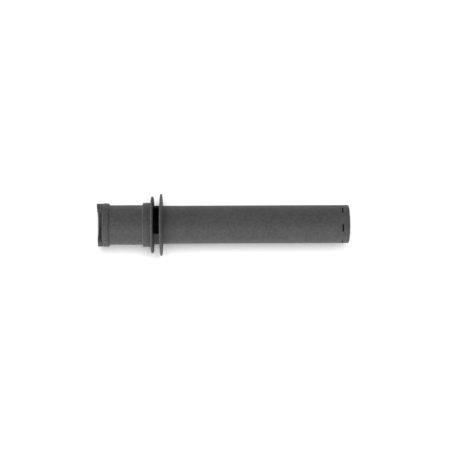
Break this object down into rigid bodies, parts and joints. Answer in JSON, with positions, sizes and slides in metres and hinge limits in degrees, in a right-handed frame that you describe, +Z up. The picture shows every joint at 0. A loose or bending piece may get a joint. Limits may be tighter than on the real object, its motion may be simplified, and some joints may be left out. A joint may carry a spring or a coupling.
{
  "type": "motorcycle throttle tube",
  "caption": "Hollow throttle tube that turns on a low-friction liner on the handlebar, with two locating flanges, a windowed neck and a notched drive collar.",
  "frame": {"origin": "on the handlebar axis, at the outboard face of the outer flange", "axes": "+X along the handlebar, outboard; +Z up; angles about X run from +Z towards +Y. Seen from the bar's end, opening the throttle turns the top of the tube towards -Y"},
  "size_m": [0.1679, 0.0414, 0.0414],
  "materials": {
    "tube_nylon": "matte, fine sandy grain",
    "liner_plastic": "smooth, low friction",
    "retainer_plastic": "smooth matte"
  },
  "bodies": {
    "bar_side": {"bar_liner": "liner_plastic"},
    "throttle_tube": {"drive_collar": "tube_nylon", "end_land": "tube_nylon", "barrel": "tube_nylon", "shoulder_land": "tube_nylon", "inner_flange": "tube_nylon", "stop_neck": "tube_nylon", "outer_flange": "tube_nylon", "grip_sleeve": "tube_nylon", "end_retainer": "retainer_plastic"}
  },
  "joints": [
    {"name": "throttle_twist", "type": "hinge", "parent": "bar_side", "child": "throttle_tube", "pos_m": [0, 0, 0], "axis": [1, 0, 0], "range_deg": [0, 70]}
  ]
}
